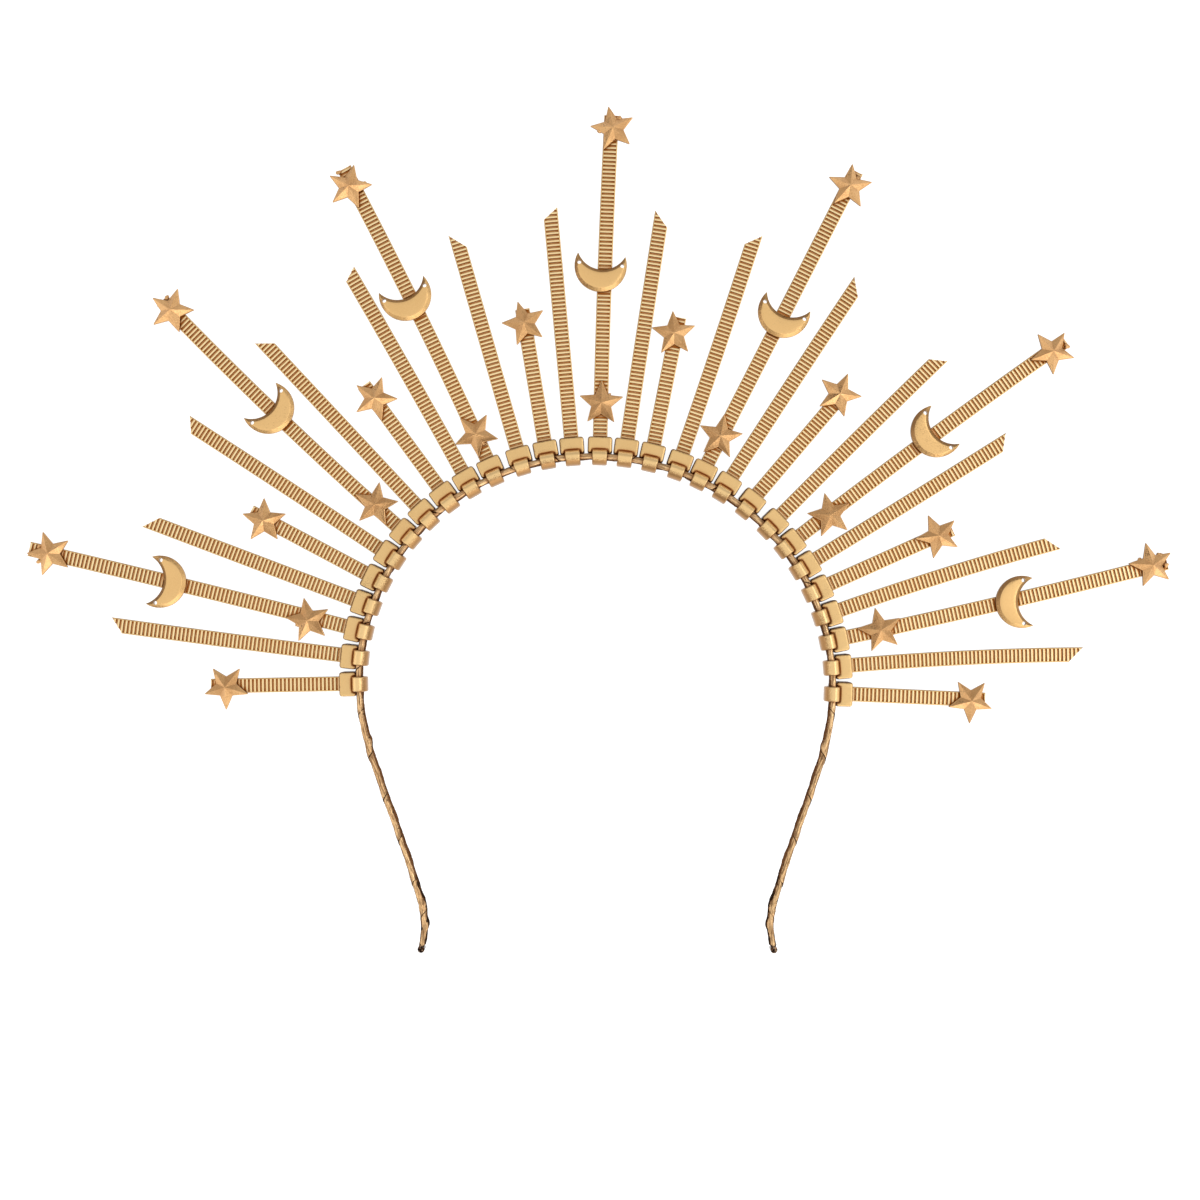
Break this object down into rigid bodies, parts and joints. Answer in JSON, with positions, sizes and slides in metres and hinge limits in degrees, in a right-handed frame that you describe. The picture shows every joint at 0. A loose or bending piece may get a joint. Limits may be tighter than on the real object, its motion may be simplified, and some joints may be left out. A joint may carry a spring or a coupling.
{
  "type": "halo crown",
  "caption": "Halo crown worn on a headband: gold cable ties fan out round a ribbon-wrapped band, with faceted stars and pierced crescent moons glued on their straps.",
  "frame": {"origin": "middle of the arch, where the head goes in, on the plane that the backs of the ties' heads rest on", "axes": "+X to the right seen from the front, +Y from the open end of the headband to the middle tie, +Z from the back to the front"},
  "size_m": [0.3434, 0.2533, 0.0103],
  "materials": {
    "band": "spring steel under brown and gold paint, dark at the blunt ends",
    "ribbon": "wound satin ribbon under bronze-gold spray paint",
    "tie": "nylon under satin gold spray paint",
    "star": "moulded plastic under satin gold spray paint",
    "moon": "moulded plastic under satin gold spray paint"
  },
  "bodies": {
    "root": {"headband": "band", "ribbon_wrap": "ribbon", "tie_01": "tie", "tie_02": "tie", "tie_03": "tie", "tie_04": "tie", "tie_05": "tie", "tie_06": "tie", "tie_07": "tie", "tie_08": "tie", "tie_09": "tie", "tie_10": "tie", "tie_11": "tie", "tie_12": "tie", "tie_13": "tie", "tie_14": "tie", "tie_15": "tie", "tie_16": "tie", "tie_17": "tie", "tie_18": "tie", "tie_19": "tie", "tie_20": "tie", "tie_21": "tie", "tie_22": "tie", "tie_23": "tie", "tie_24": "tie", "tie_25": "tie", "tie_26": "tie", "tie_27": "tie", "tie_28": "tie", "tie_29": "tie", "tip_star_01": "star", "tip_star_03": "star", "tip_star_05": "star", "tip_star_07": "star", "tip_star_09": "star", "tip_star_11": "star", "tip_star_13": "star", "tip_star_15": "star", "tip_star_17": "star", "tip_star_19": "star", "tip_star_21": "star", "tip_star_23": "star", "tip_star_25": "star", "tip_star_27": "star", "tip_star_29": "star", "base_star_03": "star", "base_star_07": "star", "base_star_11": "star", "base_star_15": "star", "base_star_19": "star", "base_star_23": "star", "base_star_27": "star", "moon_03": "moon", "moon_07": "moon", "moon_11": "moon", "moon_15": "moon", "moon_19": "moon", "moon_23": "moon", "moon_27": "moon"}
  },
  "joints": []
}
